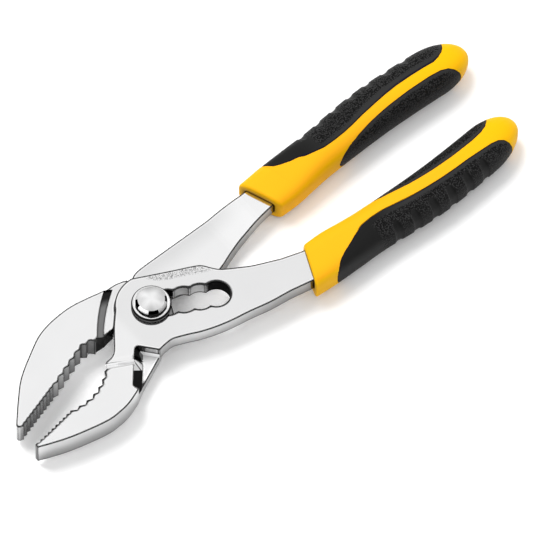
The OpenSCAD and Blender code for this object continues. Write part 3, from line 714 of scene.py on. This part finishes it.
# Painted highlight in a wedge at the notch's foot, with a painted dark line over it
WEDGE_X, WEDGE_Y, WEDGE_Z = (-17, -10.8, .3), (-20.5, -12, .3), (11.0, 10.8)
WEDGE_LINE_Z, WEDGE_LINE = (10.9, 11.5, .1), .05
# How matte the throat and the wedge are
SIDE_MATTE = .8
# Groove before the plate: sloping faces above this y are its own, and those below it the notch's
# Painted reflections on the groove's slope: a darker and a lighter band by height, near black towards high y
GROOVE_Y, GROOVE_BAND_Z, GROOVE_DARK, GROOVE_LIGHT = (-5, -3), (12.4, 13.9, .6), .12, .24
GROOVE_TOP_Y, GROOVE_TOP = (12, 15.5), .02


def slotted_paint(tree, at):
    """Tones of the slotted half: tops by region, painted shade on walls, teeth and slot.

    The banded groove and the black notch are painted reflections, and the seam and the wedge painted light.
    """
    x, y, z, up, slope = (at[key] for key in ("x", "y", "z", "up", "slope"))
    top = blend(x.step(*PLATE_X), JAW_TOP, PLATE_TOP)
    top = blend(speckles(tree, at), top, top * SPECKLE_SHARE)

    # Painted shade on the walls: darker than the tops, by height, on the handle, teeth and throat, and in
    # hollows
    wall = blend(z.step(*WALL_Z), WALL_LOW, WALL_HIGH)
    wall = blend(x.step(*HANDLE_WALL_X), wall, wall * HANDLE_WALL_SHARE)
    wall = blend(x.step(*TEETH_X), wall, blend(x.step(*FINE_TEETH_X), COARSE_TEETH, FINE_TEETH))
    throat = x.between(*THROAT_X) * at["ny"].step(*THROAT_NY)
    wall = blend(throat, wall, THROAT_SHADE) * use(tree, HOLLOWS, **STEEL_HOLLOWS)["open"]

    # Painted shade in the slot, black at its far end
    slot = at["across"].between(*SLOT_ACROSS) * at["along"].between(*SLOT_ALONG)
    far_end = at["along"].step(*SLOT_END)
    wall = blend(slot, wall, blend(far_end, blend(z.step(*SLOT_Z), SLOT_HIGH, SLOT_LOW), SLOT_END_SHADE))
    # Painted light on the seam's walls
    seam = use(tree, SEAM, x=x, across=at["across"])["band"]
    wall = blend(seam, wall, SEAM_LIGHT)
    # Painted highlight of the wedge, with a painted dark line over it
    foot = x.between(*WEDGE_X) * y.between(*WEDGE_Y)
    wedge = foot * z.step(*WEDGE_Z)
    wall = blend(foot * z.between(*WEDGE_LINE_Z), blend(wedge, wall, SEAM_LIGHT), WEDGE_LINE)

    # Painted reflections in bands on the groove's slope
    groove = blend(z.between(*GROOVE_BAND_Z), GROOVE_DARK, GROOVE_LIGHT)
    groove = blend(y.step(*GROOVE_TOP_Y), groove, GROOVE_TOP)
    tone = blend(up, wall, top)
    tone = blend(slope * y.step(*GROOVE_Y), tone, groove)
    # Painted reflections on the notch
    tone = blend(slope * (1 - y.step(*GROOVE_Y)), tone, use(tree, NOTCH, x=x, y=y, z=z)["tone"])
    sides = 1 - up
    matte = larger(slope, sides * slot * far_end)
    matte = larger(matte, sides * larger(throat, wedge) * SIDE_MATTE)
    return tone, matte, larger(seam, wedge * sides), slot


# Pin half: painted shading of the handle's top, darker along its high edge and paler towards the sleeve
HANDLE_Y, HANDLE_EDGE, HANDLE_TOP = (18, 8), .80, .93
HANDLE_END_X, HANDLE_END, HANDLE_X = (45, 66), .96, (-2, 8)
# Painted shade on the walls: darker than the tops, and darker lower down
PIN_WALL_Z, PIN_WALL_LOW, PIN_WALL_HIGH = (3, 13), .50, .66
# Painted shade on the teeth of the lower jaw: where they start, the walls that face them, and where they
# need broad lines
LOWER_TEETH_X, LOWER_TEETH_NY, LOWER_TEETH_SHADE = (-25, -27), (-.5, -.3), .04
BROAD_LINES_X, BROAD_LINES_Y = (-31, -33), (-21, -19)
# Painted shade on the plate's step under the slot, and its matte part that the notch shows
STEP_X, STEP_Y, STEP_Z, STEP_SHADE = (3, 20, 2), (8, 5), (14.5, 13.9), .22
MATTE_X, MATTE_Y, MATTE_TONE = (-22, -9, .5), (-26, -12, .5), .68


def pin_paint(tree, at):
    """Tones of the pin half: bright jaw, painted shade on walls and teeth and along the handle's high edge.

    The dark notch is a painted reflection, and the seam gets painted light.
    """
    x, y, z, up, slope = (at[key] for key in ("x", "y", "z", "up", "slope"))
    handle = blend(y.step(*HANDLE_Y), HANDLE_EDGE, HANDLE_TOP)
    handle = blend(x.step(*HANDLE_END_X), handle, HANDLE_END)
    top = blend(x.step(*HANDLE_X), JAW_TOP, handle)
    top = blend(z.step(*STEP_Z) * x.between(*STEP_X) * y.step(*STEP_Y), top, STEP_SHADE)

    # Painted shade on the walls, on the teeth and in hollows
    wall = blend(z.step(*PIN_WALL_Z), PIN_WALL_LOW, PIN_WALL_HIGH)
    wall = blend(x.step(*LOWER_TEETH_X) * at["ny"].step(*LOWER_TEETH_NY), wall, LOWER_TEETH_SHADE)
    wall = wall * use(tree, HOLLOWS, **STEEL_HOLLOWS)["open"]
    # Painted light on the seam's walls
    seam = use(tree, SEAM, x=x, across=at["across"])["band"]
    wall = blend(seam, wall, SEAM_LIGHT)

    tone = blend(up, wall, top)
    # Painted reflections on the notch
    tone = blend(slope, tone, use(tree, NOTCH, x=x, y=y, z=z)["tone"])
    plate = up * x.between(*MATTE_X) * y.between(*MATTE_Y)
    teeth = y.step(*BROAD_LINES_Y) * x.step(*BROAD_LINES_X)
    return blend(plate, tone, MATTE_TONE), larger(slope, plate), seam, teeth


# Painted highlight rays of the head's spun crown and painted reflections on its side, by the angle round it
# in degrees
SPUN_HIGHLIGHTS = ((0, .95), (8, 1), (50, 0), (80, .5), (110, 1), (140, .25), (170, .1), (200, .4), (245, 0),
              (290, 1), (320, .6), (360, .95))
SIDE_REFLECTIONS = ((0, .95), (38, 0), (78, .42), (130, 0), (155, .42), (320, 0), (354, .95))
# The crown: how far it reaches, its painted shading from the middle outward, and how strong the painted
# highlight rays are
CROWN_R, CROWN_SOFT = 5.6, .1
CROWN_FADE, CROWN_MIDDLE, CROWN_RIM = (.5, CROWN_R), .96, .66
SPIN_R, SPIN_SHARE = (0, 5.5), .30
# Heights of the head, of its side's painted reflections and of the line in the washer's side, and their
# tones
HEAD_FROM, BELT_FROM, COLLAR_Z = (17.4, 17.5), (18.7, 18.9), (15.8, 16.2, .2)
# Painted shade: the washer's black side and the head's dark foot
WASHER_SIDE_SHADE, COLLAR_LINE, HEAD_FOOT_SHADE, WASHER_TOP = .012, .2, .03, .98
# How much of the edge lines the head leaves out
HEAD_CLEAR = .6


def turned_paint(tree, at):
    """Tones of the turned parts: painted highlights on the spun crown, fading outward, and painted bright
    and dark bands on the sides.
    """
    x, y, z = at["x"], at["y"], at["z"]
    radius = maths("SQRT", x * x + y * y)
    turned = (maths("ARCTAN2", y, x) + math.pi) / (2 * math.pi)
    side = tone_ramp(turned, [(angle / 360, tone) for angle, tone in SIDE_REFLECTIONS], "CONSTANT")
    spun_highlights = tone_ramp(turned, [(angle / 360, tone) for angle, tone in SPUN_HIGHLIGHTS], "EASE") - .5
    crown = blend(radius.step(*CROWN_FADE), CROWN_MIDDLE, CROWN_RIM)
    crown = maths("ADD", crown, radius.step(*SPIN_R) * spun_highlights * SPIN_SHARE, clamp=True)

    head = z.step(*HEAD_FROM)
    crowned = head * radius.step(CROWN_R + CROWN_SOFT, CROWN_R - CROWN_SOFT)
    washer_top = at["up"] * (1 - head)
    wall = blend(z.between(*COLLAR_Z), WASHER_SIDE_SHADE, COLLAR_LINE)
    wall = blend(head, wall, HEAD_FOOT_SHADE)
    wall = blend(head * z.step(*BELT_FROM), wall, side)
    tone = blend(washer_top, blend(crowned, wall, crown), WASHER_TOP)
    return tone, 1 - larger(crowned, washer_top), head * HEAD_CLEAR, 0


# Yellow moulding: painted brown shade in deep corners, warm in front, painted lighter towards the end and on
# the shoulders, painted shade on the sides
CORNER_SHADE_BROWN = opaque(0.05, 0.02, 0.001)
FRONT_YELLOW, END_LIT_YELLOW = opaque(0.87, 0.41, 0.008), opaque(0.87, 0.45, 0.001)
SHOULDER_LIT_YELLOW, SIDE_SHADE_YELLOW = opaque(0.87, 0.48, 0.0), opaque(0.80, 0.42, 0.0)
END_X, SHOULDER_NZ, SIDE_NZ = (120, 168), (.8, .5), (.5, .1)
# Painted shade in the moulding's hollows: reach in millimetres and power
YELLOW_HOLLOWS = dict(reach=2.5, power=1.5)


def yellow_material():
    """Satin yellow moulding: its colour by place and by slope, with painted light and shade, and painted
    brown shade in deep corners.
    """
    mat, tree, bsdf = new_material("yellow moulding")
    at = use(tree, PLACE)
    body = mixed(at["x"].step(*END_X), FRONT_YELLOW, END_LIT_YELLOW)
    body = mixed(at["nz"].step(*SHOULDER_NZ), body, SHOULDER_LIT_YELLOW)
    body = mixed(at["nz"].step(*SIDE_NZ), body, SIDE_SHADE_YELLOW)
    body = mixed(use(tree, HOLLOWS, **YELLOW_HOLLOWS)["open"], CORNER_SHADE_BROWN, body)
    plug_all(bsdf, {"Base Color": body, "Roughness": 0.5, "Specular IOR Level": 0.1})
    return mat


# Black plastic: plain skin and pebbles, in painted shade on their sides and painted sheen on their tops, and
# the marks on it
SKIN_SIDE, SKIN_TOP, SKIN_FRONT = grey(0.004), grey(0.024), grey(0.008)
PEBBLE_SIDE, PEBBLE_TOP, PIT_SHADE = grey(0.016), grey(0.040), grey(0.002)
# Painted shade in the grooves and painted highlights on their rims
GROOVE_SHADE, RIM_HIGHLIGHT, BORDER_NAVY = grey(0.001), grey(0.03), opaque(0.004, 0.005, 0.016)
INLAY_NZ, INLAY_FRONT_X = (.2, .8), (112, 92)
# Pebbles: how many cells a metre, the share of a cell from which it is a pit in painted shade, and how far
# they stand out
CELLS, PIT_FROM, PEBBLE_H, PEBBLE_STRENGTH = 1600.0, (.28, .6), 0.5, .9


def black_material():
    """Black soft plastic: pebbles where the mesh asks for them, with painted shade in their pits, and a navy
    line along the border.
    """
    mat, tree, bsdf = new_material("black inlay")
    marks = {}
    for label in ("pebbles", "groove", "rim", "border"):
        made = tree.nodes.new("ShaderNodeAttribute")
        made.attribute_name = label
        marks[label] = Amount(made.outputs["Fac"])
    at = use(tree, PLACE)
    pit = pattern(tree, "ShaderNodeTexVoronoi", "Distance", Scale=CELLS).step(*PIT_FROM)
    bump = tree.nodes.new("ShaderNodeBump")
    strength = marks["pebbles"] * PEBBLE_STRENGTH
    plug_all(bump, {"Distance": PEBBLE_H * MM, "Strength": strength, "Height": 1 - pit})
    # Painted sheen on the tops and painted shade on the sides
    skin = mixed(at["nz"].step(*INLAY_NZ), SKIN_SIDE, SKIN_TOP)
    skin = mixed(at["x"].step(*INLAY_FRONT_X), skin, SKIN_FRONT)
    pebble = mixed(pit, mixed(at["nz"].step(*INLAY_NZ), PEBBLE_SIDE, PEBBLE_TOP), PIT_SHADE)
    for label, colour in (("pebbles", pebble), ("groove", GROOVE_SHADE), ("rim", RIM_HIGHLIGHT),
                          ("border", BORDER_NAVY)):
        skin = mixed(marks[label], skin, colour)
    plug_all(bsdf, {"Base Color": skin, "Roughness": 0.5, "Specular IOR Level": 0.12,
                    "Normal": Amount(bump.outputs[0])})
    return mat


SLOTTED_STEEL = steel_surface("polished steel, slotted half", slotted_paint, SIDE_GLOW)
PIN_STEEL = steel_surface("polished steel, pin half", pin_paint, SIDE_GLOW)
TURNED_STEEL = steel_surface("polished steel, turned parts", turned_paint, 0.0)
YELLOW = yellow_material()
BLACK = black_material()


# Pieces

# The head starts at this height, and is drawn in to this share, so that more of the washer shows
HEAD_Z, HEAD_SHARE = 17.35, 0.94
# Points closer than this are one, and faces that turn by less than this many degrees are one
MERGE, FLAT_ANGLE = 0.002, 0.8
# Edges that turn by more than this many degrees are rounded, in this many steps
BEVEL_ANGLE, BEVEL_STEPS = 32, 3


def recolour(name, material):
    """Give a CAD node the material of the piece that stands for it."""
    solid = frame["nodes"][name]
    solid.data.materials.clear()
    solid.data.materials.append(material)


def narrow_head(obj):
    """Draw the pin's head in: every point above HEAD_Z keeps HEAD_SHARE of its distance from the axis."""
    co = np.empty(len(obj.data.vertices) * 3, np.float32)
    obj.data.vertices.foreach_get("co", co)
    co = co.reshape(-1, 3)
    co[:, :2] *= np.where(co[:, 2:] > HEAD_Z * MM, HEAD_SHARE, 1)
    obj.data.vertices.foreach_set("co", co.ravel())


def merge_mesh(mesh):
    """Join a solid's loose triangles: doubled points are merged, and flat faces become one."""
    made = bmesh.new()
    made.from_mesh(mesh)
    bmesh.ops.remove_doubles(made, verts=made.verts, dist=MERGE * MM)
    bmesh.ops.dissolve_limit(made, angle_limit=math.radians(FLAT_ANGLE), verts=made.verts, edges=made.edges)
    made.to_mesh(mesh)
    made.free()


def from_node(name, piece, material, bevel):
    """Copy of a CAD node with its doubled points merged, and its edges rounded if a bevel is given."""
    source = frame["nodes"][name]
    obj = source.copy()
    obj.data = source.data.copy()
    obj.name = obj.data.name = piece
    for key in list(obj.keys()):
        del obj[key]
    bpy.context.scene.collection.objects.link(obj)
    obj.parent = None
    merge_mesh(obj.data)
    obj.data.materials.clear()
    obj.data.materials.append(material)
    obj.data.polygons.foreach_set("use_smooth", np.full(len(obj.data.polygons), bool(bevel)))
    if not bevel:
        return obj
    mod = obj.modifiers.new("soft edges", "BEVEL")
    mod.width = bevel * MM
    mod.segments = BEVEL_STEPS
    mod.limit_method = "ANGLE"
    mod.angle_limit = math.radians(BEVEL_ANGLE)
    mod.harden_normals = True
    mod.use_clamp_overlap = True
    return obj


for name, piece, material, bevel, body in (
    ("slotted_half", "slotted_half_steel", SLOTTED_STEEL, 0, "slotted_side"),
    ("pin_half", "pin_half_steel", PIN_STEEL, 0, "pin_side"),
    ("pivot_pin", "pivot_pin_steel", TURNED_STEEL, 0.25, "pin_side"),
    ("pivot_washer", "pivot_washer_steel", TURNED_STEEL, 0.15, "washer"),
    ("pivot_nut", "pivot_nut_steel", TURNED_STEEL, 0.3, "pin_side"),
):
    made = from_node(name, piece, material, bevel)
    if name == "pivot_pin":
        narrow_head(made)
    recolour(name, material)
    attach(made, body)
    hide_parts(name)

for grip in (UPPER, LOWER):
    for made, stands_for, material, slot in (
        (sleeve(grip), "sleeve", YELLOW, "yellow_sleeve"),
        (inlay(grip, "outer", 0, grip["outer"], 1, True), "outer_pad", BLACK, "black_inlay"),
        (inlay(grip, "inner", 180, INNER, -1, False), "inner_pad", BLACK, "black_inlay"),
    ):
        made.data.materials.append(material)
        recolour(f"{grip['name']}_{stands_for}", material)
        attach(made, grip["body"])
        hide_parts(f"{grip['name']}_{stands_for}")


# Floor, light and camera

FLOOR_HALF, FLOOR_Z = 4000, -.02
# Painted light: glowing spots of the floor under the slot and between the jaws: place, reach and strength
FLOOR_GLOW, SPOT_CORE = 0.07, 2
FLOOR_LIGHT_SPOTS = ((24.5, -9, 15, .30), (-30, 0, 22, .16))

# Tones of the room from straight down to straight up, for its light and for its reflections
ROOM_LIGHT = ((0.0, 0.06), (0.3, 0.06), (0.42, 0.5), (0.52, 1.15), (0.8, 1.05), (0.87, 0.92), (1.0, 1.05))
ROOM_REFLECTED = ((0.0, 0.55), (0.2, 0.66), (0.42, 0.84), (0.52, 1.0), (0.8, 1.05), (0.87, 0.92),
                  (0.93, 0.98), (1.0, 1.05))

KEY_STRENGTH, KEY_SOFTNESS, KEY_DIRECTION = 2.2, 30, (0.05, -0.55, -1)
CAMERA_AWAY, SENSOR_W = 8000, 36
CLIP_NEAR, CLIP_FAR = 100, 100000


def floor():
    """Wide pale floor, with painted light glowing under the slot and between the jaws, where little light
    comes.
    """
    square = [[-1, -1], [1, -1], [1, 1], [-1, 1]]
    obj = to_mesh("floor", [[x * FLOOR_HALF, y * FLOOR_HALF, FLOOR_Z] for x, y in square], [[0, 1, 2, 3]])
    mat, tree, bsdf = new_material("white floor")
    at = use(tree, PLACE)
    glow = FLOOR_GLOW
    for x, y, reach, strength in FLOOR_LIGHT_SPOTS:
        far = maths("SQRT", (at["x"] - x) ** 2 + (at["y"] - y) ** 2)
        glow = far.step(reach, SPOT_CORE) * strength + glow
    plug_all(bsdf, {
        "Base Color": grey(0.93),
        "Roughness": 0.9,
        "Specular IOR Level": 0.1,
        "Emission Color": colour_of(glow, glow, glow),
        "Emission Strength": 1.0,
    })
    obj.data.materials.append(mat)


def world():
    """White room: it lights from overhead, reflections see a paler horizon, and the camera sees white."""
    made = bpy.data.worlds.new("white room")
    bpy.context.scene.world = made
    made.use_nodes = True
    tree = made.node_tree
    tree.nodes.clear()
    out = tree.nodes.new("ShaderNodeOutputWorld")
    back = tree.nodes.new("ShaderNodeBackground")
    tree.links.new(back.outputs[0], out.inputs[0])
    coord = tree.nodes.new("ShaderNodeTexCoord")
    height = parts_of(tree, coord.outputs["Generated"])[2]
    path = tree.nodes.new("ShaderNodeLightPath")
    glossy, seen = Amount(path.outputs["Is Glossy Ray"]), Amount(path.outputs["Is Camera Ray"])
    tone = mixed(glossy, tone_ramp(height, ROOM_LIGHT), tone_ramp(height, ROOM_REFLECTED))
    plug_all(back, {"Color": mixed(seen, tone, grey(1.0)), "Strength": 1.0})


def sun():
    """Soft key light from behind and above."""
    light = bpy.data.lights.new("key", "SUN")
    light.energy = KEY_STRENGTH
    light.angle = math.radians(KEY_SOFTNESS)
    obj = bpy.data.objects.new("key", light)
    obj.rotation_mode = "QUATERNION"
    obj.rotation_quaternion = Vector(KEY_DIRECTION).to_track_quat("-Z", "Y")
    obj.visible_glossy = False
    bpy.context.scene.collection.objects.link(obj)


def camera():
    """Long lens from the photograph's side, whose picture is as wide as the photograph's at the part."""
    data = bpy.data.cameras.new("camera")
    obj = bpy.data.objects.new("camera", data)
    bpy.context.scene.collection.objects.link(obj)
    bpy.context.scene.camera = obj
    turn, rise = math.radians(VIEW_TURN), math.radians(VIEW_RISE)
    back = Vector((math.sin(turn) * math.cos(rise), -math.cos(turn) * math.cos(rise), math.sin(rise)))
    obj.location = (Vector(VIEW_MIDDLE) + back * CAMERA_AWAY) * MM
    obj.rotation_mode = "QUATERNION"
    obj.rotation_quaternion = (-back).to_track_quat("-Z", "Y")
    data.sensor_width = SENSOR_W
    data.lens = SENSOR_W * CAMERA_AWAY / (PHOTO_PIXELS / PIXELS_PER_MM)
    data.clip_start, data.clip_end = CLIP_NEAR * MM, CLIP_FAR * MM


floor()
world()
sun()
camera()
bpy.context.scene.view_settings.view_transform = "Standard"
